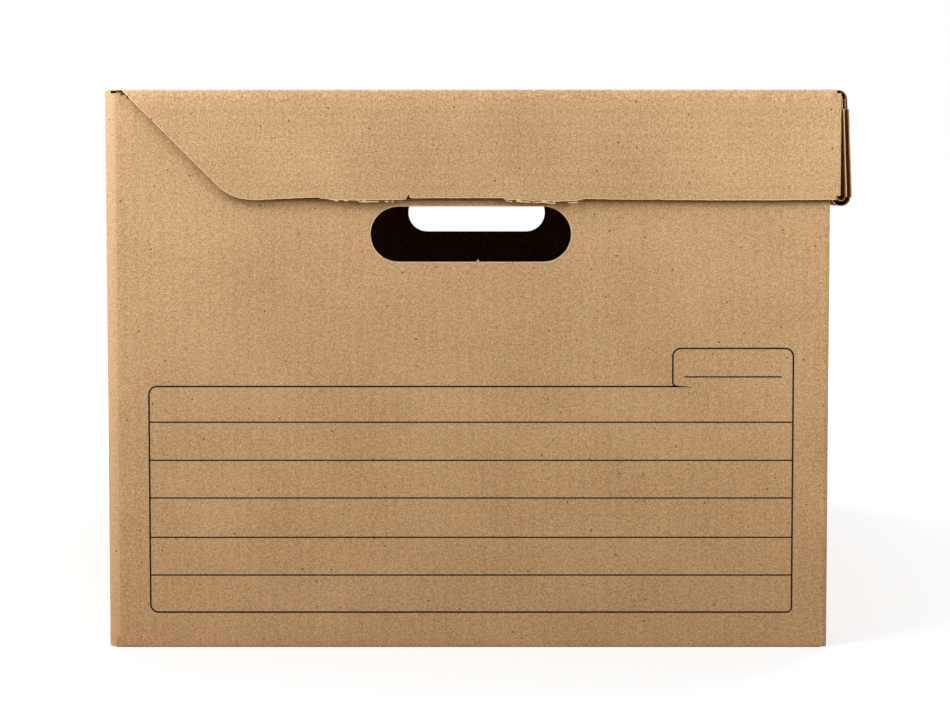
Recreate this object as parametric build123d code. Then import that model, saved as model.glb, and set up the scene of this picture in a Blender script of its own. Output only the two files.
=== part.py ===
from build123d import *
import os

# Archive storage box folded from corrugated board, with a lid on a crease.
# X runs from the hinge wall to the opening wall, Y from the near end wall to
# the far one, Z up from the floor. The origin is under the middle of the
# closed box. All lengths are in millimetres.

# Driving dimensions of the whole box
box_width = 375.0            # outside, hinge wall to opening wall
box_depth = 440.0            # outside, near end wall to far end wall
box_height = 290.0           # floor to the top of the closed lid
board = 3.0                  # thickness of the single-wall board
fold_inner_radius = 1.5      # inside of a right-angle crease
overrun = 5.0                # how far every cutting tool runs past its face

# Clearances
play = 0.4                   # between the lid and the walls, and between floor layers
crease_play = 0.3            # between a hinge crease and the panel that turns on it
tab_inner_play = 0.15        # corner tab to the inner ply of the lid front
tab_outer_gap = 0.6          # corner tab to the outer ply of the lid front
slot_play = 0.4              # round a lock tab in its slot

# Hand hole, one in each end wall
hand_hole_length = 103.7
hand_hole_height = 28.7
hand_hole_centre_height = 215.6
hand_hole_setover = 1.7      # hole's middle from the wall's middle, towards the opening wall

# Lid
lid_flap_depth = 56.5        # lid top down to the lower edge of a side flap
lid_flap_setback = 14.3      # hinge wall's face to the start of the slanted end
lid_flap_toe = 66.3          # hinge wall's face to where the slant meets the lower edge
lid_flap_corner_radius = 25.0
lid_front_depth = 60.0       # lid top down to the rolled lower edge of the lid front
lid_front_inset = 0.5        # outer ply's end, inside the side flap's face
lid_front_shoulder = 10.0    # lid top down to where the outer ply becomes full width
corner_tab_length = 80.0
corner_tab_relief = 2.0      # corner tab's lower edge above the side flap's lower edge
inner_ply_inset = 1.0        # inner ply's end, inside the end wall's face
lock_tab_length = 45.0
lock_tab_spacing = 220.0     # between the centres of the two lock tabs
lock_tab_sink = 0.3          # lock tab's end below the lid top

# Floor
tongue_width = 36.0
tongue_spacing = 42.0        # between the centres of neighbouring lock tongues
tongue_ramp = 8.0            # length over which a tongue climbs onto the other flap
tongue_reach = 40.0          # length of a tongue that lies on the other flap
inner_flap_margin = 2.0      # end of an inner floor flap to the end wall or glue flap
glue_flap_width = 38.0       # from the opening wall's face
glue_flap_taper = 12.0       # height lost at each end of the glue flap's free edge

# Places worked out from the sizes above
fold_outer_radius = fold_inner_radius + board
front_stack = play + board + tab_inner_play + board + tab_outer_gap + board
overall_width = box_width + front_stack
hinge_face = -overall_width / 2
opening_face = hinge_face + box_width
lid_front_face = overall_width / 2
box_middle = hinge_face + box_width / 2
end_face = box_depth / 2
lid_side_face = end_face + play + board
wall_top = box_height - board - play
inner_floor = board + play
wall_foot = inner_floor + board
flat_near = -end_face + fold_outer_radius
flat_far = end_face - fold_outer_radius
tab_face = lid_front_face - board - tab_outer_gap
lid_flap_end = tab_face - fold_outer_radius
lid_flat_side = lid_side_face - fold_outer_radius
lid_flat_top = box_height - fold_outer_radius
hem_outer_radius = (front_stack - play) / 2
hem_axis_height = box_height - lid_front_depth + hem_outer_radius
inner_ply_face = lid_front_face - 2 * hem_outer_radius
lock_band = 3 * tongue_spacing
inner_flap_start = 2 * board + crease_play
inner_flap_length = (box_width - lock_band) / 2 - inner_flap_start


def slab(x, y, z):
    """A flat piece of board between the low and high end given for each axis."""
    spans = (x, y, z)
    size = [high - low for low, high in spans]
    middle = [(low + high) / 2 for low, high in spans]
    return Pos(*middle) * Box(*size)


def fold_section(inner, outer, turn, whole_turns=0.25):
    """The cut end of a folded strip: a quarter or half of a ring, turned to its corner."""
    ring = Circle(outer) - Circle(inner) if inner else Circle(outer)
    if whole_turns == 0.25:
        window = Rectangle(outer, outer, align=(Align.MIN, Align.MIN))
    else:
        window = Rectangle(2 * outer, outer, align=(Align.CENTER, Align.MIN))
    return Rot(0, 0, turn) * (ring & window)


def run_out(plane, section, length):
    """Push a section out along its plane's normal."""
    return extrude(plane * section, amount=length, dir=plane.z_dir)


def along_x(y, z, x, section):
    plane = Plane.YZ.offset(x[0]).shift_origin(Vector(x[0], y, z))
    return run_out(plane, section, x[1] - x[0])


def along_y(x, z, y, section):
    plane = Plane.XZ.offset(-y[1]).shift_origin(Vector(x, y[1], z))
    return run_out(plane, section, y[1] - y[0])


def along_z(x, y, z, section):
    plane = Plane.XY.offset(z[0]).shift_origin(Vector(x, y, z[0]))
    return run_out(plane, section, z[1] - z[0])


def right_angle(turn):
    """The section of a plain right-angle crease."""
    return fold_section(fold_inner_radius, fold_outer_radius, turn)


def half_bead(turn):
    """The section of a crease that a panel turns on: half round, about the inner fold line."""
    return fold_section(0, board, turn, whole_turns=0.5)


def hand_hole(y):
    """The cutter of a hand hole through the end wall that starts at y."""
    outline = SlotOverall(hand_hole_length, hand_hole_height)
    reach = (y - overrun, y + board + overrun)
    middle = box_middle + hand_hole_setover
    return along_y(middle, hand_hole_centre_height, reach, outline)


def make_end_walls():
    """The two end walls; the far one laps over the glue flap to the opening wall's face."""
    left = hinge_face + fold_outer_radius
    z = (fold_outer_radius, lid_flat_top)
    near = slab((left, opening_face - fold_outer_radius), (-end_face, -end_face + board), z)
    far = slab((left, opening_face), (end_face - board, end_face), z)
    return {
        "near_end_wall": near - hand_hole(-end_face),
        "far_end_wall": far - hand_hole(end_face - board),
    }


def make_long_walls():
    """Hinge wall and opening wall; the opening wall stops short for the glue flap's crease."""
    hinge = slab((hinge_face, hinge_face + board), (flat_near, flat_far), (wall_foot, box_height - board))
    opening = slab((opening_face - board, opening_face), (flat_near, flat_far - board), (wall_foot, wall_top))
    return {"hinge_wall": hinge, "opening_wall": opening}


def make_corner_creases():
    """The folded upright corners, from just above the floor to the end walls' tops."""
    z = (play, lid_flat_top)
    glue_z = (wall_foot, lid_flat_top)
    left = hinge_face + fold_outer_radius
    right = opening_face - fold_outer_radius
    return {
        "near_hinge_corner_crease": along_z(left, flat_near, z, right_angle(180)),
        "near_opening_corner_crease": along_z(right, flat_near, z, right_angle(270)),
        "far_hinge_corner_crease": along_z(left, flat_far, z, right_angle(90)),
        "glue_flap_crease": along_z(right, flat_far - board, glue_z, right_angle(0)),
    }


def make_glue_flap():
    """The joint of the tube: a tapered strip of the opening wall, stuck inside the far end wall."""
    root = opening_face - fold_outer_radius
    tip = opening_face - glue_flap_width
    outline = [
        (root, wall_foot),
        (root, lid_flat_top),
        (tip, lid_flat_top - glue_flap_taper),
        (tip, wall_foot + glue_flap_taper),
    ]
    back = end_face - board
    face = make_face(Polyline(*outline, close=True))
    return {"glue_flap": along_y(0, 0, (back - board, back), face)}


def lock_tongue(x):
    """A tongue that climbs from the near flap's free edge and lies on the far flap."""
    start = -play / 2
    crest = start + tongue_ramp
    tip = crest + tongue_reach
    side = [
        (start, 0),
        (crest, inner_floor),
        (tip, inner_floor),
        (tip, wall_foot),
        (crest, wall_foot),
        (start, board),
    ]
    section = make_face(Polyline(*side, close=True))
    return along_x(0, 0, (x - tongue_width / 2, x + tongue_width / 2), section)


def tongue_notch(x):
    """The cutter of the notch that the other flap's tongue climbs through."""
    half = tongue_width / 2 + play
    depth = (-play / 2 - tongue_ramp - play, overrun)
    return slab((x - half, x + half), depth, (-overrun, board + overrun))


def floor_flap(tongues, notches):
    """One outer floor flap, as it lies on the near side of the middle seam."""
    span = (hinge_face + fold_outer_radius, opening_face - fold_outer_radius)
    flap = slab(span, (flat_near, -play / 2), (0, board))
    for x in notches:
        flap -= tongue_notch(x)
    for x in tongues:
        flap += lock_tongue(x)
    return flap


def make_floor():
    """Outer floor flaps that hook into each other, with the creases they hang on."""
    middle = [box_middle]
    sides = [box_middle - tongue_spacing, box_middle + tongue_spacing]
    span = (hinge_face + fold_outer_radius, opening_face - fold_outer_radius)
    return {
        "near_floor_crease": along_x(flat_near, fold_outer_radius, span, right_angle(180)),
        "far_floor_crease": along_x(flat_far, fold_outer_radius, span, right_angle(270)),
        "near_floor_flap": floor_flap(middle, sides),
        "far_floor_flap": mirror(floor_flap(sides, middle), about=Plane.XZ),
    }


def make_inner_floor():
    """Loose inner floor flaps, and the beads under the long walls that they turn on."""
    y = (-end_face + board + inner_flap_margin, end_face - 2 * board - inner_flap_margin)
    z = (inner_floor, wall_foot)
    left = hinge_face + inner_flap_start
    right = opening_face - inner_flap_start
    bead = half_bead(180)
    bead_y = (flat_near, flat_far - board)
    return {
        "hinge_side_floor_crease": along_y(hinge_face + board, wall_foot, bead_y, bead),
        "opening_side_floor_crease": along_y(opening_face - board, wall_foot, bead_y, bead),
        "hinge_side_inner_flap": slab((left, left + inner_flap_length), y, z),
        "opening_side_inner_flap": slab((right - inner_flap_length, right), y, z),
    }


def lock_places():
    """Y of the two lock tabs on the inner ply of the lid front."""
    return (-lock_tab_spacing / 2, lock_tab_spacing / 2)


def make_lid_top():
    """The lid's flat top with its lock slots, and the bead on the hinge wall that it turns on."""
    x = (hinge_face + inner_flap_start, lid_front_face - fold_outer_radius)
    top = slab(x, (-lid_flat_side, lid_flat_side), (box_height - board, box_height))
    slot_x = (inner_ply_face - slot_play, inner_ply_face + board + slot_play)
    for y in lock_places():
        half = lock_tab_length / 2 + slot_play
        top -= slab(slot_x, (y - half, y + half), (wall_top - overrun, box_height + overrun))
    crease = along_y(hinge_face + board, box_height - board, (flat_near, flat_far), half_bead(0))
    return {"lid_top": top, "lid_hinge_crease": crease}


def lid_flap_outline():
    """A side flap seen square on: slanted at the hinge end, with a rounded toe."""
    lower = box_height - lid_flap_depth
    corners = [
        (hinge_face + lid_flap_setback, lid_flat_top),
        (lid_flap_end, lid_flat_top),
        (lid_flap_end, lower),
        (hinge_face + lid_flap_toe, lower),
    ]
    outline = make_face(Polyline(*corners, close=True))
    toe = outline.vertices().group_by(Axis.Y)[0].sort_by(Axis.X)[0]
    return fillet(toe, lid_flap_corner_radius)


def make_lid_sides():
    """Side flaps, their creases and the corner tabs that the lid front is rolled over."""
    outline = lid_flap_outline()
    crease_x = (hinge_face + lid_flap_setback, lid_flap_end)
    tab_z = (box_height - lid_flap_depth + corner_tab_relief, lid_flat_top - play)
    tab_x = (tab_face - board, tab_face)
    pieces = {}
    for name, side, roof_turn, tab_turn in (("near", -1, 90, 270), ("far", 1, 0, 0)):
        faces = sorted((side * lid_side_face, side * (lid_side_face - board)))
        edge = side * lid_flat_side
        tab_y = sorted((edge, edge - side * corner_tab_length))
        pieces[name + "_lid_flap"] = along_y(0, 0, faces, outline)
        pieces[name + "_lid_crease"] = along_x(edge, lid_flat_top, crease_x, right_angle(roof_turn))
        pieces[name + "_corner_tab"] = slab(tab_x, tab_y, tab_z)
        pieces[name + "_tab_crease"] = along_z(lid_flap_end, edge, tab_z, right_angle(tab_turn))
    return pieces


def make_lid_front():
    """The lid front: an outer ply, a rolled hem and an inner ply that locks into the lid top."""
    shoulder = box_height - lid_front_shoulder
    wide = lid_side_face - lid_front_inset
    half = end_face - inner_ply_inset
    outer_x = (lid_front_face - board, lid_front_face)
    outer = slab(outer_x, (-wide, wide), (hem_axis_height, shoulder))
    outer += slab(outer_x, (-lid_flat_side, lid_flat_side), (shoulder, lid_flat_top))
    inner_x = (inner_ply_face, inner_ply_face + board)
    inner = slab(inner_x, (-half, half), (hem_axis_height, wall_top))
    for y in lock_places():
        tab_y = (y - lock_tab_length / 2, y + lock_tab_length / 2)
        inner += slab(inner_x, tab_y, (wall_top, box_height - lock_tab_sink))
    hem = fold_section(hem_outer_radius - board, hem_outer_radius, 180, whole_turns=0.5)
    crease_x = lid_front_face - fold_outer_radius
    return {
        "lid_front_crease": along_y(crease_x, lid_flat_top, (-lid_flat_side, lid_flat_side), right_angle(0)),
        "lid_front_outer_ply": outer,
        "lid_front_hem": along_y(lid_front_face - hem_outer_radius, hem_axis_height, (-half, half), hem),
        "lid_front_inner_ply": inner,
    }


def make_box():
    """Every piece of the box by its node name."""
    pieces = {}
    for make in (
        make_end_walls,
        make_long_walls,
        make_corner_creases,
        make_glue_flap,
        make_floor,
        make_inner_floor,
        make_lid_top,
        make_lid_sides,
        make_lid_front,
    ):
        pieces.update(make())
    return pieces


os.makedirs("parts", exist_ok=True)
for node, shape in make_box().items():
    export_step(shape, f"parts/{node}.step")
    print(node, round(shape.volume, 1))
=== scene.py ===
# %% [markdown]
# # An archive storage box of corrugated board
# The box is one cut sheet of brown board, creased and folded up. Its lid turns on the crease at the
# top of one long wall, and two loose flaps lie on the floor inside. The CAD frame gives every panel
# and crease as a plain solid. Here each panel becomes what it really is: two sheets of kraft paper
# with a waved sheet stuck between them, so that every cut edge shows its flutes.

# %% Load the frame
import math
import random
import bmesh
import bpy
from mathutils import Matrix, Vector


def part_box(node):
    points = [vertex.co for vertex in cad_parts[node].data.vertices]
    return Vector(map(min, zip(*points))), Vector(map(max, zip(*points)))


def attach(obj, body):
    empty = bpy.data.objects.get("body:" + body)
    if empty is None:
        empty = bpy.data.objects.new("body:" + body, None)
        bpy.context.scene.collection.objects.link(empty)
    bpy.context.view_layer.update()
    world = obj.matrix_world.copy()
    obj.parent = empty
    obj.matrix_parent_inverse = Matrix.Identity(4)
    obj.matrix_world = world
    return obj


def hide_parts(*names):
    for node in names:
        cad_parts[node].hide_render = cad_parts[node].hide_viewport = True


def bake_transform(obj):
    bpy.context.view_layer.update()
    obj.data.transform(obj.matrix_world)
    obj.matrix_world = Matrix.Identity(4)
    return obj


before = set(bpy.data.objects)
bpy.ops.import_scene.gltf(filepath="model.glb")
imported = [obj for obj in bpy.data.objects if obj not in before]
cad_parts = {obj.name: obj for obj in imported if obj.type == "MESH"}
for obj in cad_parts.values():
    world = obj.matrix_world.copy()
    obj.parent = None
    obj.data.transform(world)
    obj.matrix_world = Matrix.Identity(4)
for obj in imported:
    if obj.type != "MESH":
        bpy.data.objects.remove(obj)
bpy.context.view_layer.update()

# %% [markdown]
# ## Places to build to
# The faces of the box are read from the frame's own nodes. What a node's box can't tell, such as the
# size of a hole or the thickness of the papers inside the board, is a named length.

# %% Read the main places from the frame
mm = 0.001


def low(node):
    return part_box(node)[0]


def high(node):
    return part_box(node)[1]


board = high("lid_top").z - low("lid_top").z
hinge_face = low("hinge_wall").x
opening_face = high("opening_wall").x
end_face = high("far_end_wall").y
lid_face = high("lid_top").z
lid_side = high("far_lid_flap").y
lid_front = high("lid_front_outer_ply").x
lid_flat_side = high("lid_top").y
fold = lid_side - lid_flat_side
wall_foot = low("hinge_wall").z
wall_top = high("near_end_wall").z
box_middle = (hinge_face + opening_face) / 2
print("board", round(board / mm, 2), "mm, outer fold radius", round(fold / mm, 2), "mm")

# %% Thickness of the papers in the board
liner = 0.36 * mm
half = liner / 2
medium = 0.24 * mm
flute_pitch = 6.4 * mm
flute_steps = 8
flute_rise = board / 2 - liner - medium / 2
fold_steps = 8
tight_fold = 1.1 * mm
foot_fold = 0.9 * mm
sharp_fold = 0.4 * mm
touch = 0.02 * mm
hinge_lip = high("hinge_wall").z - liner - touch
print("flute height", round(2 * flute_rise / mm, 2), "mm every", round(flute_pitch / mm, 2), "mm")

# %% [markdown]
# ## Camera and stage
# The photograph looks square on at one end wall from just under a metre away, a little above the hand
# hole, with the lens shifted so that the box sits in the middle of the picture. A plain pale floor and
# a white world stand behind it. The floor adds some light of its own for the camera, less of it near
# the box, so it renders white and still keeps a soft shadow.

# %% Camera
picture_width = 950
picture_height = 724
eye = Vector((5.9 * mm, -1147.4 * mm, 250.6 * mm))
pitch = math.radians(2.72)
lens_pixels = 1798.6
shift_across = -0.0145
shift_up = -0.116
camera_data = bpy.data.cameras.new("camera")
camera = bpy.data.objects.new("camera", camera_data)
bpy.context.collection.objects.link(camera)
bpy.context.scene.camera = camera
camera.location = eye
camera.rotation_euler = (math.radians(90) - pitch, 0, 0)
camera_data.sensor_width = 36
camera_data.lens = lens_pixels / picture_width * camera_data.sensor_width
camera_data.shift_x = shift_across
camera_data.shift_y = shift_up
print("lens", round(camera_data.lens, 1), "mm, shift", round(camera_data.shift_y, 3))


# %% Node helper, and colours as a screen shows them
def shader_node(tree, kind, sockets=None, **settings):
    """Add a node; each socket is linked to another node's output or filled with a value."""
    made = tree.nodes.new("ShaderNode" + kind)
    for name, value in settings.items():
        setattr(made, name, value)
    for key, value in (sockets or {}).items():
        if isinstance(value, bpy.types.NodeSocket):
            tree.links.new(value, made.inputs[key])
        else:
            made.inputs[key].default_value = value
    return made


def tone(red, green, blue):
    """A colour read off a screen, 0 to 255, as the linear light that shaders use."""
    levels = [level / 255 for level in (red, green, blue)]
    light = [v / 12.92 if v <= 0.04045 else ((v + 0.055) / 1.055) ** 2.4 for v in levels]
    return (*light, 1.0)


# %% Floor and world
bpy.context.scene.view_settings.view_transform = "Standard"


def deselect():
    if bpy.context.mode != "OBJECT":
        bpy.ops.object.mode_set(mode="OBJECT")
    bpy.ops.object.select_all(action="DESELECT")


def seen_directly(tree):
    """1 for a ray from the camera, also by way of a mirror or a pane of glass."""
    path = shader_node(tree, "LightPath").outputs
    either = shader_node(tree, "Math", {0: path["Is Camera Ray"], 1: path["Is Glossy Ray"]},
                         operation="MAXIMUM").outputs[0]
    return shader_node(tree, "Math", {0: either, 1: path["Is Transmission Ray"]},
                       operation="MAXIMUM").outputs[0]


floor_glow = 0.65
glow_near = 0.3
glow_far = 0.8
floor_grey = (0.3, 0.3, 0.3, 1)
floor_bounce = (0.26, 0.14, 0.05, 1)
floor_size = 60
floor_finish = bpy.data.materials.new("pale_floor")
floor_finish.use_nodes = True
tree = floor_finish.node_tree
tree.nodes.remove(tree.nodes["Principled BSDF"])
place = shader_node(tree, "TexCoord").outputs["Object"]
distance = shader_node(tree, "VectorMath", {0: place}, operation="LENGTH").outputs["Value"]
strength = shader_node(tree, "MapRange", {"Value": distance, "From Min": glow_near, "From Max": glow_far,
                                          "To Min": floor_glow, "To Max": 1.0}).outputs["Result"]
glow = shader_node(tree, "Emission", {"Color": (1, 1, 1, 1), "Strength": strength})
shade = shader_node(tree, "BsdfDiffuse", {"Color": floor_grey})
seen = shader_node(tree, "AddShader", {0: glow.outputs[0], 1: shade.outputs[0]})
plain = shader_node(tree, "BsdfDiffuse", {"Color": floor_bounce})
mixed = shader_node(tree, "MixShader", {0: seen_directly(tree), 1: plain.outputs[0], 2: seen.outputs[0]})
tree.links.new(mixed.outputs[0], tree.nodes["Material Output"].inputs["Surface"])

deselect()
bpy.ops.mesh.primitive_plane_add(size=floor_size)
floor = bpy.context.object
floor.name = "pale_floor"
floor.data.materials.append(floor_finish)

sky_strength = 0.06
sky_warmth = (1.0, 0.72, 0.46, 1)
world = bpy.data.worlds.new("white_room")
bpy.context.scene.world = world
world.use_nodes = True
tree = world.node_tree
sky = tree.nodes["Background"]
seen = seen_directly(tree)
hue = shader_node(tree, "MixRGB", {"Fac": seen, "Color1": sky_warmth, "Color2": (1, 1, 1, 1)})
tree.links.new(hue.outputs[0], sky.inputs["Color"])
level = shader_node(tree, "MapRange", {"Value": seen, "To Min": sky_strength, "To Max": 1.0})
tree.links.new(level.outputs["Result"], sky.inputs["Strength"])
print("stage:", floor.name, "and", world.name)


# %% [markdown]
# ## Light
# One soft lamp hangs close to the near end wall, above the box and well to the left. That makes the
# wall bright under the lid, lets it fade towards the floor and throws the lid's shadow down, as in
# the photograph. Weaker ones beside the box brighten the wall's two sides and soften that shadow.
# Other lamps light the top and the far side for the other views.

# %% Lamps
def soft_lamp(name, place, target, size, power):
    lamp = bpy.data.lights.new(name, "AREA")
    lamp.size = size
    lamp.energy = power
    hung = bpy.data.objects.new(name, lamp)
    bpy.context.collection.objects.link(hung)
    hung.location = place
    hung.rotation_euler = (Vector(target) - Vector(place)).to_track_quat("-Z", "Y").to_euler()
    hung.visible_camera = False


soft_lamp("high_lamp", (-0.45, -0.53, 0.78), (-0.25, -end_face, 0.05), size=0.4, power=4.8)
soft_lamp("left_lamp", (-0.42, -0.48, 0.42), (-0.2, -end_face, 0.22), size=0.25, power=0.7)
soft_lamp("right_lamp", (0.42, -0.5, 0.42), (0.2, -end_face, 0.22), size=0.25, power=1.75)
soft_lamp("low_lamp", (-0.7, -0.62, 0.3), (-0.15, -end_face, 0.17), size=0.3, power=1.0)
soft_lamp("top_lamp", (0.1, 0.15, 1.3), (0, 0.05, 0.3), size=0.9, power=8)
soft_lamp("far_left_lamp", (-0.75, 0.75, 0.6), (0, 0.1, 0.15), size=0.5, power=7)
soft_lamp("far_right_lamp", (0.75, 0.75, 0.6), (0, 0.1, 0.15), size=0.5, power=7)
print("lamps:", sorted(lamp.name for lamp in bpy.data.lights))


# %% [markdown]
# ## Kraft paper
# Recycled kraft is a brown felt of fibres: a slow cloudiness, a mottle of a few millimetres, a fine
# grain, dark and pale specks, and fibres lying across the flutes. The flutes behind it show as very
# faint bars. All of it is worked out from Object coordinates, so it stays on the piece in any pose.

# %% The paper finish
def noise(tree, place, scale, detail=2.0):
    made = shader_node(tree, "TexNoise", {"Vector": place, "Scale": scale, "Detail": detail})
    return made.outputs["Fac"]


def weigh(tree, value, weight, rest):
    """value times weight, plus rest."""
    return shader_node(tree, "Math", {0: value, 1: weight, 2: rest}, operation="MULTIPLY_ADD").outputs[0]


def over(tree, below, above, amount):
    """Lay one colour over another where amount is 1."""
    return shader_node(tree, "MixRGB", {"Fac": amount, "Color1": below, "Color2": above}).outputs[0]


def specks(tree, place, scale, size, share):
    """Small round spots, in a share of the cells of a loose grid."""
    cells = shader_node(tree, "TexVoronoi", {"Vector": place, "Scale": scale})
    spot = shader_node(tree, "MapRange", {"Value": cells.outputs["Distance"], "From Min": size,
                                          "From Max": size * 0.5}).outputs["Result"]
    lot = shader_node(tree, "SeparateColor", {"Color": cells.outputs["Color"]}).outputs["Red"]
    chosen = shader_node(tree, "Math", {0: lot, 1: share}, operation="LESS_THAN").outputs[0]
    return shader_node(tree, "Math", {0: spot, 1: chosen}, operation="MULTIPLY").outputs[0]


cloud_scale = 22
mottle_scale = 640
grain_scale = 1500
fibre_scale = 190
fibre_stretch = 7.0
paper_roughness = 0.88
paper_gloss = 0.25
dark_fleck, dark_speck, pale_fleck = tone(128, 96, 64), tone(112, 80, 50), tone(232, 204, 168)


def paper_finish(name, pale, deep, flute_axis="X", bars=0.05):
    """Kraft between a pale and a deep tone, with the flutes behind it lined up across one axis."""
    finish = bpy.data.materials.new(name)
    finish.use_nodes = True
    tree = finish.node_tree
    place = shader_node(tree, "TexCoord").outputs["Object"]
    cloud = noise(tree, place, cloud_scale, 3)
    mottle = noise(tree, place, mottle_scale, 3)
    grain = noise(tree, place, grain_scale, 3)
    stretch = [1.0, 1.0, 1.0]
    stretch[2 if flute_axis == "X" else 0] = fibre_stretch
    laid = shader_node(tree, "Mapping", {"Vector": place, "Scale": stretch}).outputs[0]
    fibre = noise(tree, laid, fibre_scale, 3)
    bar = shader_node(tree, "TexWave", {"Vector": place, "Scale": math.tau / 20 / flute_pitch},
                      bands_direction=flute_axis, wave_profile="SIN").outputs["Fac"]
    shade = weigh(tree, cloud, 0.4, weigh(tree, mottle, 1.0, weigh(tree, fibre, 0.3, -1.65)))
    shade = weigh(tree, grain, 2.6, weigh(tree, bar, bars, shade))
    shade = shader_node(tree, "Clamp", {"Value": shade}).outputs[0]
    colour = over(tree, pale, deep, shade)
    colour = over(tree, colour, dark_fleck, specks(tree, place, scale=420, size=0.13, share=0.4))
    colour = over(tree, colour, dark_speck, specks(tree, place, scale=140, size=0.09, share=0.7))
    colour = over(tree, colour, pale_fleck, specks(tree, place, scale=480, size=0.13, share=0.35))
    surface = tree.nodes["Principled BSDF"]
    tree.links.new(colour, surface.inputs["Base Color"])
    surface.inputs["Roughness"].default_value = paper_roughness
    surface.inputs["Specular IOR Level"].default_value = paper_gloss
    relief = weigh(tree, mottle, 0.5, weigh(tree, grain, 0.35, weigh(tree, bar, bars, 0.0)))
    bump = shader_node(tree, "Bump", {"Height": relief, "Strength": 0.25, "Distance": 0.15 * mm})
    tree.links.new(bump.outputs[0], surface.inputs["Normal"])
    return finish


kraft_pale = tone(229, 196, 151)
kraft_deep = tone(167, 132, 90)
kraft = {axis: paper_finish("kraft_flutes_across_" + axis.lower(), kraft_pale, kraft_deep, axis)
         for axis in "XYZ"}
creased_kraft = paper_finish("creased_kraft", tone(230, 196, 156), tone(200, 164, 121), bars=0.0)
cut_edge = paper_finish("cut_paper_edge", tone(236, 208, 172), tone(206, 174, 134), bars=0.0)
# The pale rim finish is partly wear of the paper's edge and partly a painted highlight, as where an edge
# catches the light.
worn_and_highlit_rim = paper_finish("worn_and_highlit_paper_rim", tone(242, 216, 182), tone(214, 184, 146), bars=0.0)
fluting_kraft = paper_finish("fluting_kraft", tone(176, 140, 100), tone(140, 106, 72), bars=0.0)
print("papers:", sorted(finish.name for finish in bpy.data.materials))


# %% [markdown]
# ## Tools for working with board
# Every paper starts as one point that is extruded from corner to corner, so its folds are drawn in
# section first. The corners are rounded with a vertex bevel, the line is pulled out into a sheet, and
# Solidify gives the paper its thickness, with the fresh-cut finish on its rim. The waved sheet
# between two papers starts as one wave of a grid.

# %% Holding, picking and finishing
def hold(piece, mode="OBJECT"):
    deselect()
    piece.select_set(True)
    bpy.context.view_layer.objects.active = piece
    bpy.ops.object.mode_set(mode=mode)


def pick(piece, test):
    """In edit mode, select the points whose place passes the test, and what lies between them."""
    bpy.ops.mesh.select_all(action="DESELECT")
    mesh = bmesh.from_edit_mesh(piece.data)
    for point in mesh.verts:
        point.select_set(test(point.co))
    mesh.select_flush(True)
    bmesh.update_edit_mesh(piece.data)


def finish_with(piece, kind, **settings):
    """Add a modifier and apply it at once."""
    hold(piece)
    modifier = piece.modifiers.new(kind.lower(), kind)
    for name, value in settings.items():
        setattr(modifier, name, value)
    bpy.ops.object.modifier_apply(modifier=modifier.name)


# %% Drawing a fold line and pulling it out into paper
def draw_line(name, corners, radii=()):
    deselect()
    bpy.ops.mesh.primitive_plane_add(size=board)
    line = bpy.context.object
    line.name = name
    bpy.ops.object.mode_set(mode="EDIT")
    bpy.ops.mesh.merge(type="CENTER")
    bpy.ops.transform.translate(value=corners[0])
    for here, there in zip(corners, corners[1:]):
        bpy.ops.mesh.extrude_region_move(TRANSFORM_OT_translate={"value": there - here})
    for corner, radius in zip(corners[1:-1], radii):
        pick(line, lambda place: (place - corner).length < touch)
        bpy.ops.mesh.bevel(offset=radius, segments=fold_steps, affect="VERTICES")
    return line


def pull(way):
    bpy.ops.mesh.select_all(action="SELECT")
    bpy.ops.mesh.extrude_region_move(TRANSFORM_OT_translate={"value": way})


def extend(sheet, test, way):
    """Pull the edges whose ends pass the test further out."""
    pick(sheet, test)
    bpy.ops.mesh.extrude_region_move(TRANSFORM_OT_translate={"value": way})


def trim(sheet, planes, keep_all=False):
    """Cut along planes, each a point and an outward direction, and drop what is outside."""
    hold(sheet, "EDIT")
    for point, outward in planes:
        bpy.ops.mesh.select_all(action="SELECT")
        bpy.ops.mesh.bisect(plane_co=point, plane_no=outward, clear_outer=not keep_all)


def drop_faces(sheet, test):
    """Delete the faces whose middle passes the test, asked from left to right so that chance repeats."""
    hold(sheet, "EDIT")
    bpy.ops.mesh.select_all(action="DESELECT")
    mesh = bmesh.from_edit_mesh(sheet.data)
    for face in sorted(mesh.faces, key=lambda face: face.calc_center_median().x):
        face.select_set(test(face.calc_center_median()))
    bmesh.update_edit_mesh(sheet.data)
    bpy.ops.mesh.delete(type="FACE")


def face_one_way(sheet):
    """Turn all faces of a drawn sheet to the same side, so that its thickness is even."""
    hold(sheet, "EDIT")
    bpy.ops.mesh.select_all(action="SELECT")
    bpy.ops.mesh.normals_make_consistent(inside=False)
    hold(sheet)


def make_paper(sheet, axis, parts=(), turned=False):
    """Give a sheet its thickness and finishes: a plain one, and others where a part's test says so.

    A sheet that is in loose bits is turned one way beforehand, while it is still whole.
    """
    if not turned:
        face_one_way(sheet)
    hold(sheet)
    for finish in (kraft[axis], *[finish for test, finish in parts]):
        sheet.data.materials.append(finish)
        sheet.data.materials.append(cut_edge)
    for face in sheet.data.polygons:
        for number, (test, finish) in enumerate(parts, 1):
            if test(face.center):
                face.material_index = 2 * number
    finish_with(sheet, "SOLIDIFY", thickness=liner, offset=0, use_even_offset=True, material_offset_rim=1)


def along(axis):
    return Vector([float(axis == name) for name in "XYZ"])


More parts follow.
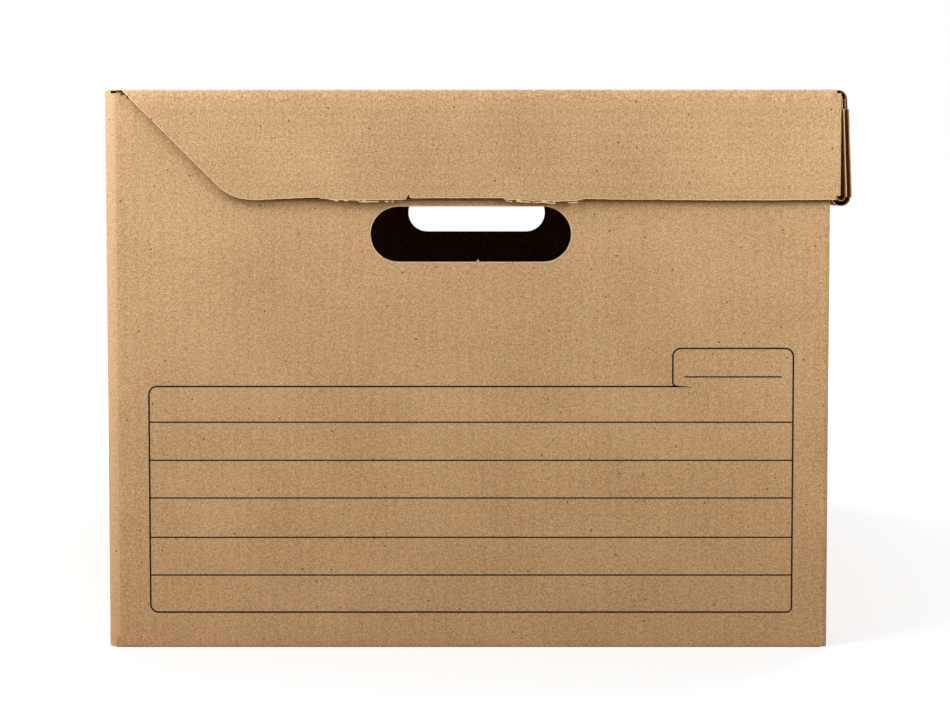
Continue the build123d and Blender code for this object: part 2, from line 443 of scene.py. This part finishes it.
# %% The waved sheet between the papers
def flute_sheet(name, corner, across, way, width, length, planes=()):
    """Model one wave, array it across the panel, trim it, and lay it in place from its corner."""
    deselect()
    bpy.ops.mesh.primitive_grid_add(x_subdivisions=flute_steps, y_subdivisions=1, size=1)
    sheet = bpy.context.object
    sheet.name = name
    bpy.ops.object.mode_set(mode="EDIT")
    bpy.ops.transform.translate(value=(0.5, 0.5, 0))
    bpy.ops.transform.resize(value=(flute_pitch, length, 1), center_override=(0, 0, 0))
    for step in range(flute_steps):
        rise = flute_rise * math.sin(math.tau * step / flute_steps)
        pick(sheet, lambda place: abs(place.x - step * flute_pitch / flute_steps) < touch)
        bpy.ops.transform.translate(value=(0, 0, rise))
    finish_with(sheet, "ARRAY", count=math.ceil(width / flute_pitch), use_relative_offset=False,
                use_constant_offset=True, constant_offset_displace=(flute_pitch, 0, 0),
                use_merge_vertices=True, merge_threshold=touch)
    trim(sheet, [((width, 0, 0), (1, 0, 0))])
    hold(sheet)
    out = across.cross(way)
    sheet.matrix_world = Matrix.Translation(corner) @ Matrix((across, way, out)).transposed().to_4x4()
    bpy.ops.object.transform_apply(location=True, rotation=True, scale=True)
    trim(sheet, planes)
    hold(sheet)
    sheet.data.materials.append(fluting_kraft)
    sheet.data.materials.append(cut_edge)
    finish_with(sheet, "SOLIDIFY", thickness=medium, offset=0)
    return sheet


# %% Joining the layers of a board, and cutting through them
smooth_angle = math.radians(40)


def join_board(name, layers, body, nodes):
    """Join the layers into one piece that rides on a body and stands for CAD nodes."""
    piece = layers[0]
    hold(piece)
    if len(layers) > 1:
        for layer in layers:
            layer.select_set(True)
        bpy.ops.object.join()
    piece.name = name
    piece.data.name = name
    bpy.ops.object.shade_smooth_by_angle(angle=smooth_angle)
    if body:
        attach(piece, body)
    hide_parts(*nodes)
    print(name, "faces:", len(piece.data.polygons))
    return piece


def block(name, corner_low, corner_high):
    """A cutter between two corners, whose cuts take a paper's second finish: its cut edge."""
    middle = (corner_low + corner_high) / 2
    deselect()
    bpy.ops.mesh.primitive_cube_add(size=1)
    cutter = bpy.context.object
    cutter.name = name
    bpy.ops.object.mode_set(mode="EDIT")
    bpy.ops.transform.resize(value=corner_high - corner_low, center_override=(0, 0, 0))
    bpy.ops.transform.translate(value=middle)
    bpy.ops.object.mode_set(mode="OBJECT")
    for face in cutter.data.polygons:
        face.material_index = 1
    return cutter


def cut_through(layers, cutters):
    for cutter in cutters:
        for layer in layers:
            finish_with(layer, "BOOLEAN", object=cutter, operation="DIFFERENCE", solver="EXACT")
        hold(cutter)
        bpy.ops.object.delete()


# %% [markdown]
# ## The four walls
# The walls are one sheet that runs round the box from the raw end of the far wall to the glue flap
# inside it. Drawing that run in plan keeps the papers whole round the corners, as they really are.
# The long walls then rise a little more than the end walls, and the corners reach down to the floor.

# %% Papers of the walls
hinge_corner = 6.4 * mm
opening_corner = 3.6 * mm
corner_foot = low("near_hinge_corner_crease").z
corner_rise = 3.9 * mm
glue_face = high("glue_flap").y
glue_tip = low("glue_flap").x


def wall_line(name, inset):
    """The walls' run in plan, inset from the outside of the board."""
    left, right = hinge_face + inset, opening_face - inset
    corners = [(opening_face, end_face - inset), (left, end_face - inset), (left, inset - end_face),
               (right, inset - end_face), (right, glue_face - inset), (glue_tip, glue_face - inset)]
    radii = [radius - inset for radius in (hinge_corner, hinge_corner, opening_corner, fold)]
    return draw_line(name, [Vector((x, y, wall_foot)) for x, y in corners], radii)


def raise_walls(sheet, inset):
    """Pull the run up to the walls' tops, and let each stretch reach its own height."""
    pull(Vector((0, 0, wall_top - wall_foot)))
    middle = Vector((box_middle, 0, 0))
    trim(sheet, [(middle, along("X")), (middle, along("Y"))], keep_all=True)
    for face, top in ((hinge_face + inset, hinge_lip), (opening_face - inset, high("opening_wall").z)):
        extend(sheet, lambda place: abs(place.x - face) < touch and place.z > wall_top - touch
               and abs(place.y) < end_face - board, Vector((0, 0, top - wall_top)))
    reach = hinge_corner + touch
    for x, y in ((hinge_face, -end_face), (hinge_face, end_face), (opening_face, -end_face)):
        extend(sheet, lambda place: place.z < wall_foot + touch and abs(place.x - x) < reach
               and abs(place.y - y) < reach, Vector((0, 0, corner_foot - wall_foot)))


def lift_corner_tops(sheet):
    """Let the outer paper of the hinge side's corners stand up beside the end of the lid's fold."""
    stops = [low("near_lid_flap").x - step for step in (2 * board / 3, fold + board / 4)]
    stops.append(hinge_face + 4 * board / 3)
    trim(sheet, [(Vector((stop, 0, 0)), along("X")) for stop in stops], keep_all=True)
    for side in (-1, 1):
        level = wall_top
        for stop in stops:
            rise = corner_rise / len(stops)
            extend(sheet, lambda place: place.z > level - touch and place.x < stop + touch
                   and side * place.y > end_face - 3 * board / 2, Vector((0, 0, rise)))
            level += rise


def in_long_wall(place):
    return abs(place.y) < end_face - hinge_corner


def in_hinge_corner(place):
    return abs(place.y) > end_face - hinge_corner and place.x < hinge_face + hinge_corner


wall_papers = []
for name, inset in (("outer", half), ("inner", board - half)):
    sheet = wall_line("walls_" + name + "_paper", inset)
    raise_walls(sheet, inset)
    parts = [(in_long_wall, kraft["Y"])]
    if name == "outer":
        lift_corner_tops(sheet)
        parts.append((in_hinge_corner, creased_kraft))
    make_paper(sheet, "X", parts)
    wall_papers.append(sheet)
print("wall papers:", [len(sheet.data.polygons) for sheet in wall_papers], "faces")

# %% Waved sheets of the walls
wall_height = wall_top - wall_foot
end_width = opening_face - hinge_face - 2 * fold
near_corner = Vector((hinge_face + fold, board / 2 - end_face, wall_foot))
far_corner = Vector((hinge_face + fold, end_face - board / 2, wall_foot))
hinge_corner_point = Vector((hinge_face + board / 2, low("hinge_wall").y, wall_foot))
opening_corner_point = Vector((opening_face - board / 2, low("opening_wall").y, wall_foot))
glue_corner_point = Vector((glue_tip, glue_face - board / 2, wall_foot))
wall_flutes = [
    flute_sheet("near_flutes", near_corner, along("X"), along("Z"), end_width, wall_height),
    flute_sheet("far_flutes", far_corner, along("X"), along("Z"), end_width + fold, wall_height),
    flute_sheet("hinge_flutes", hinge_corner_point, along("Y"), along("Z"),
                high("hinge_wall").y - low("hinge_wall").y, hinge_lip - wall_foot),
    flute_sheet("opening_flutes", opening_corner_point, along("Y"), along("Z"),
                high("opening_wall").y - low("opening_wall").y, high("opening_wall").z - wall_foot),
    flute_sheet("glue_flutes", glue_corner_point, along("X"), along("Z"),
                high("glue_flap").x - glue_tip, wall_height),
]
print("wall flutes:", sum(len(sheet.data.polygons) for sheet in wall_flutes), "faces")

# %% [markdown]
# ## Hand holes
# One punch goes through both end walls: a block whose four long edges are bevelled by half its
# height, which makes its ends round. It is cut from each layer before the layers are joined.

# %% Punch the hand holes
hole_length = 103.7 * mm
hole_height = 28.7 * mm
hole_shift = 1.7 * mm
hole_level = 215.6 * mm
hole_steps = 16
hole_middle = Vector((box_middle + hole_shift, 0, hole_level))
hole_half = Vector((hole_length / 2, end_face + fold, hole_height / 2))
punch = block("punch", hole_middle - hole_half, hole_middle + hole_half)
bpy.ops.object.mode_set(mode="EDIT")
bpy.ops.mesh.select_all(action="DESELECT")
mesh = bmesh.from_edit_mesh(punch.data)
for edge in mesh.edges:
    ends = [point.co for point in edge.verts]
    edge.select_set(abs(ends[0].y - ends[1].y) > end_face)
bmesh.update_edit_mesh(punch.data)
bpy.ops.mesh.bevel(offset=hole_height / 2 - touch, segments=hole_steps, affect="EDGES")
bpy.ops.object.mode_set(mode="OBJECT")
cut_through(wall_papers + wall_flutes[:2], [punch])

join_board("walls_board", wall_papers + wall_flutes, "box", [
    "near_end_wall", "far_end_wall", "hinge_wall", "opening_wall", "near_hinge_corner_crease",
    "near_opening_corner_crease", "far_hinge_corner_crease", "glue_flap_crease", "glue_flap"])

# %% [markdown]
# ## The floor
# Each end wall folds under into an outer floor flap, and the two hook together: tongues of one climb
# through notches of the other. The section of wall, fold and flap is drawn once for each paper, and
# both flaps come from the same function with their sides swapped.

# %% Outer floor flaps
inner_floor = low("hinge_side_inner_flap").z
seam = 0.2 * mm
tongue_width = 36 * mm
tongue_spacing = 42 * mm
tongue_ramp = 8 * mm
tongue_tip = high("near_floor_flap").y
notch_play = 0.4 * mm


def floor_board(name, side, tongues, notches):
    """An outer floor flap on one side (-1 near, 1 far) with tongues and notches at X places."""
    left = hinge_face + fold
    foot_width = opening_face - opening_corner - left
    across = along("X")
    layers = []
    for paper, inset in (("lower", half), ("upper", board - half)):
        corners = [(end_face - inset, wall_foot), (end_face - inset, inset), (seam, inset)]
        line = [Vector((left, side * y, z)) for y, z in corners]
        sheet = draw_line(name + "_" + paper, line, [max(foot_fold - inset, sharp_fold)])
        pull(across * foot_width)
        make_paper(sheet, "X")
        layers.append(sheet)
    start = Vector((left, side * (end_face - fold), board / 2))
    layers.append(flute_sheet(name + "_flutes", start, across, along("Y") * -side, end_width,
                              end_face - fold - seam))
    notch = Vector((tongue_width / 2 + notch_play, tongue_ramp + notch_play + seam, board))
    cut_through(layers, [block("notch", Vector((x, 0, board / 2)) - notch,
                               Vector((x, 0, board / 2)) + notch) for x in notches])
    for x in tongues:
        edge = x - tongue_width / 2
        crest = seam - tongue_ramp
        for inset in (half, board - half):
            corners = [(seam, inset), (crest, inner_floor + inset), (-tongue_tip, inner_floor + inset)]
            sheet = draw_line("tongue", [Vector((edge, side * y, z)) for y, z in corners], [board])
            pull(across * tongue_width)
            make_paper(sheet, "X")
            layers.append(sheet)
        start = Vector((edge, side * crest, inner_floor + board / 2))
        layers.append(flute_sheet("tongue_flutes", start, across, along("Y") * -side, tongue_width,
                                  crest + tongue_tip))
    end = name.split("_")[0]
    join_board(name, layers, "box", [end + "_floor_crease", end + "_floor_flap"])


outer_places = [box_middle - tongue_spacing, box_middle + tongue_spacing]
floor_board("near_floor_board", -1, [box_middle], outer_places)
floor_board("far_floor_board", 1, outer_places, [box_middle])


# %% [markdown]
# ## Loose floor flaps and the folds they turn on
# The inner floor flaps turn on folds under the long walls. The upper paper of a flap ends a hair from
# the joint's axis, so it rides on the flap and clears the wall. Only the outer paper stretches round
# the fold: it is a thin strip of its own, blended between the wall and the flap.

# %% Fold skins and inner floor flaps
def fold_skin(name, node, wall_x, bend, free, y_span):
    """Paper round a fold, from a wall's face by the bend corner to the free panel's edge."""
    corners = [(wall_x, bend[0]), (wall_x, bend[1]), (free, bend[1])]
    skin = draw_line(name, [Vector((x, y_span[0], z)) for x, z in corners], [board - half])
    pull(along("Y") * (y_span[1] - y_span[0]))
    make_paper(skin, "Y", [(lambda place: True, creased_kraft)])
    piece = join_board(name, [skin], None, [node])
    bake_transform(piece)


def inner_flap(side, wall_face, sign, body):
    """A loose floor flap on the hinge side (sign 1) or the opening side (sign -1)."""
    node = side + "_inner_flap"
    start, end = (low(node).x, high(node).x) if sign > 0 else (high(node).x, low(node).x)
    axis_x = wall_face + sign * (board + touch)
    width = high(node).y - low(node).y
    layers = []
    for z, first in ((inner_floor + half, start), (inner_floor + board - half, axis_x)):
        sheet = draw_line(node + "_paper", [Vector((first, low(node).y, z)), Vector((end, low(node).y, z))])
        pull(along("Y") * width)
        make_paper(sheet, "Y")
        layers.append(sheet)
    corner = Vector((start, low(node).y, inner_floor + board / 2))
    layers.append(flute_sheet(node + "_flutes", corner, along("Y"), along("X") * sign, width,
                              abs(end - start)))
    join_board(node + "_board", layers, body, [node])
    crease = side + "_floor_crease"
    fold_skin(side + "_floor_skin", crease, wall_face + sign * half, (wall_foot, inner_floor + half),
              start, (low(crease).y, high(crease).y))


inner_flap("hinge_side", hinge_face, 1, "hinge_floor_flap")
inner_flap("opening_side", opening_face, -1, "opening_floor_flap")

# %% [markdown]
# ## The lid
# Lid top, front, rolled hem and inner ply are one strip, drawn in section from the hinge to the top
# of the inner ply. The front leans in a little towards its top. The outer ply is pulled out sideways
# under its shoulders so that it covers the side flaps, and two lock tabs of the inner ply are pulled
# up into slots of the lid top.

# %% Papers of the lid strip
ply_face = low("lid_front_inner_ply").x
ply_top = high("opening_wall").z
hem_radius = (lid_front - ply_face) / 2
hem_bottom = low("lid_front_hem").z
hem_top = high("lid_front_hem").z
shoulder_drop = 10 * mm
shoulder = lid_face - shoulder_drop
lid_start = low("lid_top").x
lid_axis_x = hinge_face + board
front_reach = high("lid_front_outer_ply").y
hinge_reach = high("lid_hinge_crease").y
lock_top = high("lid_front_inner_ply").z
lock_half = 22.5 * mm
lock_places = (-110 * mm, 110 * mm)
slot_play = 0.4 * mm
slot_span = (ply_face - slot_play, ply_face + board + slot_play)
front_lean = 2.2 * mm


def front_x(inset, z):
    """Where the leaning lid front is at a height, this far in from its outer face."""
    return lid_front - inset - front_lean * (z - hem_top) / (lid_face - hem_top)


def lid_strip(name, inset, start):
    corners = [(start, lid_face - inset), (front_x(inset, lid_face - inset), lid_face - inset),
               (front_x(inset, hem_bottom + inset), hem_bottom + inset),
               (ply_face + inset, hem_bottom + inset), (ply_face + inset, ply_top)]
    radii = (fold - inset, hem_radius - inset - touch, hem_radius - inset - touch)
    sheet = draw_line(name, [Vector((x, -lid_flat_side, z)) for x, z in corners], radii)
    pull(along("Y") * (2 * lid_flat_side))
    cuts = [(Vector((0, 0, shoulder)), along("Z"))]
    cuts += [(Vector((x, 0, 0)), along("X")) for x in (lid_start, *slot_span)]
    cuts += [(Vector((0, side * hinge_reach, 0)), along("Y")) for side in (-1, 1)]
    for y in lock_places:
        for reach in (lock_half, lock_half + slot_play):
            cuts += [(Vector((0, y + reach * way, 0)), along("Y")) for way in (-1, 1)]
    trim(sheet, cuts, keep_all=True)
    drop_faces(sheet, lambda place: place.x < lid_start and abs(place.y) > hinge_reach)
    drop_faces(sheet, lambda place: place.z > lid_face - board and slot_span[0] < place.x < slot_span[1]
               and min(abs(place.y - y) for y in lock_places) < lock_half + slot_play)
    for side in (-1, 1):
        extend(sheet, lambda place: abs(place.x - front_x(inset, place.z)) < 2 * touch
               and abs(place.y - side * lid_flat_side) < touch
               and hem_top - 3 * touch < place.z < shoulder + touch,
               along("Y") * (side * (front_reach - lid_flat_side)))
    for y in lock_places:
        extend(sheet, lambda place: abs(place.x - ply_face - inset) < touch
               and abs(place.z - ply_top) < touch and abs(place.y - y) < lock_half + touch,
               along("Z") * (lock_top - ply_top))
    return sheet


def in_front_crease(place):
    return place.x > lid_front - front_lean - fold and place.z > wall_top


lid_papers = []
for name, inset, start in (("outer", half, lid_start), ("inner", board - half, lid_axis_x)):
    sheet = lid_strip("lid_" + name + "_paper", inset, start)
    make_paper(sheet, "Y", [(in_front_crease, creased_kraft)])
    lid_papers.append(sheet)

# %% Waved sheets and slots of the lid strip
lid_flutes = [
    flute_sheet("lid_top_flutes", Vector((lid_start, -lid_flat_side, lid_face - board / 2)),
                along("Y"), along("X"), 2 * lid_flat_side, lid_front - front_lean - fold - lid_start),
    flute_sheet("front_flutes", Vector((front_x(board / 2, hem_top), -lid_flat_side, hem_top)),
                along("Y"), along("Z"), 2 * lid_flat_side, wall_top - hem_top),
    flute_sheet("inner_ply_flutes", Vector((ply_face + board / 2, -lid_flat_side, hem_top)),
                along("Y"), along("Z"), 2 * lid_flat_side, ply_top - hem_top),
]
# The front's waved sheet leans in with its papers.
hold(lid_flutes[1], "EDIT")
pick(lid_flutes[1], lambda place: place.z > wall_top - touch)
bpy.ops.transform.translate(value=(front_x(0, wall_top) - front_x(0, hem_top), 0, 0))
slots = []
for y in lock_places:
    slots.append(block("slot", Vector((slot_span[0], y - lock_half - slot_play, ply_top + touch)),
                       Vector((slot_span[1], y + lock_half + slot_play, lid_face + board))))
    lid_flutes.append(flute_sheet("lock_tab_flutes", Vector((ply_face + board / 2, y - lock_half, ply_top)),
                                  along("Y"), along("Z"), 2 * lock_half, lock_top - ply_top))
print("slots:", len(slots))

# %% [markdown]
# ## Lid sides
# A side flap hangs from a crease of the lid top. Its hinge end is slanted with a rounded toe, so that
# it clears the wall as the lid swings. Because that outline is convex, it can be cut with a fan of
# straight trims. At the front the flap folds round into a corner tab that the rolled front grips.

# %% The slanted, rounded end as trimming planes
flap_low = low("near_lid_flap").z
flap_start = low("near_lid_flap").x
flap_end = high("near_lid_flap").x
toe_reach = 66.3 * mm
toe_x = hinge_face + toe_reach
toe_radius = 25 * mm
toe_steps = 9
slant = Vector((toe_x - flap_start, 0, flap_low - wall_top)).normalized()
slant_out = Vector((slant.z, 0, -slant.x))
toe_turn = math.acos(slant_out.dot(-along("Z")))
reach_back = toe_radius * math.tan(toe_turn / 2)
toe_centre = Vector((toe_x + reach_back, 0, flap_low + toe_radius))
toe_planes = []
for step in range(toe_steps + 1):
    outward = Matrix.Rotation(-toe_turn * step / toe_steps, 3, "Y") @ slant_out
    toe_planes.append((toe_centre + outward * toe_radius, outward))
print("toe turn", round(math.degrees(toe_turn), 1), "degrees in", len(toe_planes), "trims")

# %% How the near flap's lower edge is worn
rim = 0.4 * mm
worn_step = 1.6 * mm
step_jitter = 0.3
# Places along X and the edge's lift there, in millimetres.
worn_edge = [(-113, -0.2), (-99, 0.5), (-82, 1.1), (-76, 0), (-74, -0.3), (-43, -0.1), (-37, 0),
             (-36, 1.5), (-35.3, 2.9), (-34.3, 0.8), (12.7, 0.8), (14.3, 0), (15.3, -1.1), (16.3, -0.1),
             (24.5, -0.3), (28.7, -0.9), (32.3, -0.3), (40, -1.1), (51.8, -0.5), (56.4, 0.5), (63, 0.2),
             (129, -0.3), (185, 0)]
torn_spans = [(-74, -42), (16, 53)]
torn_row = 0.55 * mm
row_starts = (0.2 * mm, -0.35 * mm)
first_row_top, first_row_foot = -0.1 * mm, -0.6 * mm
first_row_loss = 0.75
second_row_loss = 0.4
chance_lift = 0.15


def worn_lift(x):
    """Lift of the worn edge at x, on straight lines between the listed places."""
    for (start, first), (end, last) in zip(worn_edge, worn_edge[1:]):
        if start * mm <= x <= end * mm:
            return (first + (last - first) * (x / mm - start) / (end - start)) * mm
    return 0.0


def wear_edge(sheet):
    """Fray the lower edge: lift it here and there, and let torn paper hang from two stretches."""
    chance = random.Random(7)
    count = int((flap_end - worn_edge[0][0] * mm) / worn_step)
    kinks = [x * mm for x, lift in worn_edge]
    places = [kinks[0] + worn_step * (step + chance.uniform(-step_jitter, step_jitter))
              for step in range(count)]
    places = kinks + [x for x in places if min(abs(x - kink) for kink in kinks) > worn_step / 4]
    trim(sheet, [(Vector((x, 0, 0)), along("X")) for x in places], keep_all=True)
    for x in places:
        lift = worn_lift(x) + chance.uniform(-chance_lift, chance_lift) * mm
        pick(sheet, lambda place: abs(place.x - x) < touch and place.z < flap_low + rim + touch)
        bpy.ops.transform.translate(value=(0, 0, lift))
    for row_start in row_starts:
        extend(sheet, lambda place: place.z < flap_low + worn_lift(place.x) + row_start
               and any(start < place.x / mm < end for start, end in torn_spans), along("Z") * -torn_row)
    face_one_way(sheet)

    def above_edge(place):
        return place.z - flap_low - worn_lift(place.x)

    drop_faces(sheet, lambda place: first_row_foot < above_edge(place) < first_row_top
               and chance.random() < first_row_loss)
    drop_faces(sheet, lambda place: above_edge(place) < first_row_foot
               and chance.random() < second_row_loss)


# %% Side flaps with their corner tabs
tab_face = high("near_corner_tab").x
tab_low = low("near_corner_tab").z
tab_high = high("near_corner_tab").z
tab_length = high("near_corner_tab").y - low("near_corner_tab").y
tab_crush = 2.2 * mm
tab_rise = 2.9 * mm
crease_height = 6.5 * mm
crease_lean = 0.9 * mm


def on_rim(place):
    """Whether a place is on the pale rim of a flap's outer paper: worn paper, with a painted highlight
    where its edge would catch the light.
    """
    if any((place - point).dot(outward) > -rim for point, outward in toe_planes[:-1]):
        return True
    return place.z < flap_low + rim + (worn_lift(place.x) if place.y < 0 else 0)


def lid_side_board(end, side):
    """The flap, crease, tab crease and corner tab at one end (side -1 near, 1 far)."""
    layers = []
    rim_planes = [(point - outward * rim, outward) for point, outward in toe_planes]
    for inset in (half, board - half):
        lean = crease_lean if inset == half else 0
        corners = [(lid_flat_side, lid_face - inset), (lid_side - inset - lean, lid_face - inset),
                   (lid_side - inset, lid_face - crease_height), (lid_side - inset, flap_low)]
        sheet = draw_line("flap_paper", [Vector((lid_start, side * y, z)) for y, z in corners],
                          [max(tight_fold - inset, sharp_fold), crease_height / 2])
        pull(along("X") * (flap_end - lid_start))
        trim(sheet, toe_planes)
        trim(sheet, rim_planes, keep_all=True)
        worn = inset == half and side < 0
        if worn:
            wear_edge(sheet)
        # The outer paper's rim gets the pale rim finish: edge wear plus a painted highlight along the edge.
        make_paper(sheet, "Z", [(on_rim, worn_and_highlit_rim)] if inset == half else (), turned=worn)
        tab_x = tab_face - (tab_crush + half if inset == half else inset)
        corners = [(flap_end, lid_side - inset), (tab_x, lid_side - inset),
                   (tab_x, lid_flat_side - tab_length)]
        tab = draw_line("tab_paper", [Vector((x, side * y, tab_low)) for x, y in corners],
                        [max(tight_fold - inset, sharp_fold)])
        pull(along("Z") * (tab_high - tab_low))
        extend(tab, lambda place: place.z > tab_high - touch and side * place.y > lid_side - board,
               along("Z") * tab_rise)
        make_paper(tab, "Z")
        layers += [sheet, tab]
    middle = side * (lid_side - board / 2)
    layers.append(flute_sheet("flap_flutes", Vector((flap_start, middle, flap_low)), along("Z"),
                              along("X"), wall_top - flap_low, flap_end - flap_start, toe_planes))
    join_board(end + "_lid_side_board", layers, "lid", [
        end + part for part in ("_lid_flap", "_lid_crease", "_corner_tab", "_tab_crease")])


lid_side_board("near", -1)
lid_side_board("far", 1)

# %% Cut the slots and close the lid strip
cut_through([lid_flutes[0]], slots)
join_board("lid_board", lid_papers + lid_flutes, "lid", [
    "lid_top", "lid_front_crease", "lid_front_outer_ply", "lid_front_hem", "lid_front_inner_ply"])
fold_skin("lid_hinge_skin", "lid_hinge_crease", hinge_face + half, (hinge_lip, lid_face - half),
          lid_start, (low("lid_hinge_crease").y, high("lid_hinge_crease").y))

# %% [markdown]
# ## The printed form
# A ruled form for notes is printed on the near end wall in one dark ink. A printed line is a bar only
# as thick as the ink: drawn along its run, pulled out a hair from the wall, and given its width by
# Solidify. The tab at the upper right gets one plain ruled line.

# %% Printing ink
ink_full, ink_thin = tone(22, 14, 10), tone(96, 70, 48)
ink_wear_scale = 900
ink_roughness = 0.7
ink_gloss = 0.2
ink_finish = bpy.data.materials.new("printing_ink")
ink_finish.use_nodes = True
tree = ink_finish.node_tree
place = shader_node(tree, "TexCoord").outputs["Object"]
worn = shader_node(tree, "MapRange", {"Value": noise(tree, place, ink_wear_scale, 3), "From Min": 0.58,
                                      "From Max": 0.8}).outputs["Result"]
ink = over(tree, ink_full, ink_thin, worn)
surface = tree.nodes["Principled BSDF"]
tree.links.new(ink, surface.inputs["Base Color"])
surface.inputs["Roughness"].default_value = ink_roughness
surface.inputs["Specular IOR Level"].default_value = ink_gloss

# %% Form lines
ink_rise = 0.05 * mm
outline_width = 0.85 * mm
row_width = 0.7 * mm
form_left, form_right = -170.2 * mm, 163.6 * mm
form_low, form_high = 18.6 * mm, 136.7 * mm
tab_left, tab_top = 101.2 * mm, 156.5 * mm
cusp_x = 103.6 * mm
row_heights = [118.1 * mm, 98.2 * mm, 78.5 * mm, 57.9 * mm, 38.1 * mm]


def wall_line_bar(name, corners, width, radii, finish, side=-1):
    """A thin bar along a run of X and Z places on an end wall (side -1 near, 1 far)."""
    bar = draw_line(name, [Vector((x, side * end_face, z)) for x, z in corners], radii)
    pull(Vector((0, side * ink_rise, 0)))
    face_one_way(bar)
    bar.data.materials.append(finish)
    finish_with(bar, "SOLIDIFY", thickness=width, offset=0, use_even_offset=True)
    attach(bar, "box")


def printed_line(name, corners, width, radii=()):
    wall_line_bar(name, corners, width, radii, ink_finish)


round_left, round_right, round_tab, round_cusp = 4.2 * mm, 2.6 * mm, 4.2 * mm, 2.4 * mm
rule_inset, rule_rise = 6 * mm, 5 * mm
outline = [(cusp_x, form_high), (form_left, form_high), (form_left, form_low), (form_right, form_low),
           (form_right, tab_top), (tab_left, tab_top), (tab_left, form_high), (cusp_x, form_high)]
printed_line("form_outline", outline, outline_width,
             [round_left, round_left, round_right, round_tab, round_tab, round_cusp])
for number, height in enumerate(row_heights, 1):
    printed_line(f"form_row_{number}", [(form_left, height), (form_right, height)], row_width)
tab_rule = [(x, form_high + rule_rise) for x in (tab_left + rule_inset, form_right - rule_inset)]
printed_line("form_tab_rule", tab_rule, row_width)
print("form: outline,", len(row_heights), "rows and a rule")

# %% [markdown]
# ## Pale rims of the hand holes: wear and a painted highlight
# A blunt punch leaves a pale fringe of torn fibres round a hand hole, and the rim's pale colour also paints
# in the highlight of the hole's edge catching the light from above. It is one more thin bar, bent round the
# hole's outline, with a single torn bit left standing on the near hole's lower edge.

# %% Rims
rim_width = 0.45 * mm
rim_offset = 0.4
reach = hole_half + Vector((rim_width, 0, rim_width)) * rim_offset
left_x, right_x = hole_middle.x - reach.x, hole_middle.x + reach.x
low_z, high_z = hole_middle.z - reach.z, hole_middle.z + reach.z
rim_run = [(hole_middle.x, low_z), (left_x, low_z), (left_x, high_z), (right_x, high_z),
           (right_x, low_z), (hole_middle.x, low_z)]
for end, side in (("near", -1), ("far", 1)):
    # The rim's pale colour is partly wear and partly a painted highlight of the hole's edge catching the
    # light.
    wall_line_bar(end + "_hand_hole_rim", rim_run, rim_width, [reach.z - touch] * 4, worn_and_highlit_rim,
                  side)
torn_x, torn_height, torn_width = 0.3 * mm, 1.3 * mm, 0.9 * mm
# The torn bit takes the same pale rim finish, with its painted highlight.
wall_line_bar("hand_hole_torn_bit", [(torn_x, low_z), (torn_x, low_z + torn_height)], torn_width, (),
              worn_and_highlit_rim)
print("rims: near and far")

deselect()
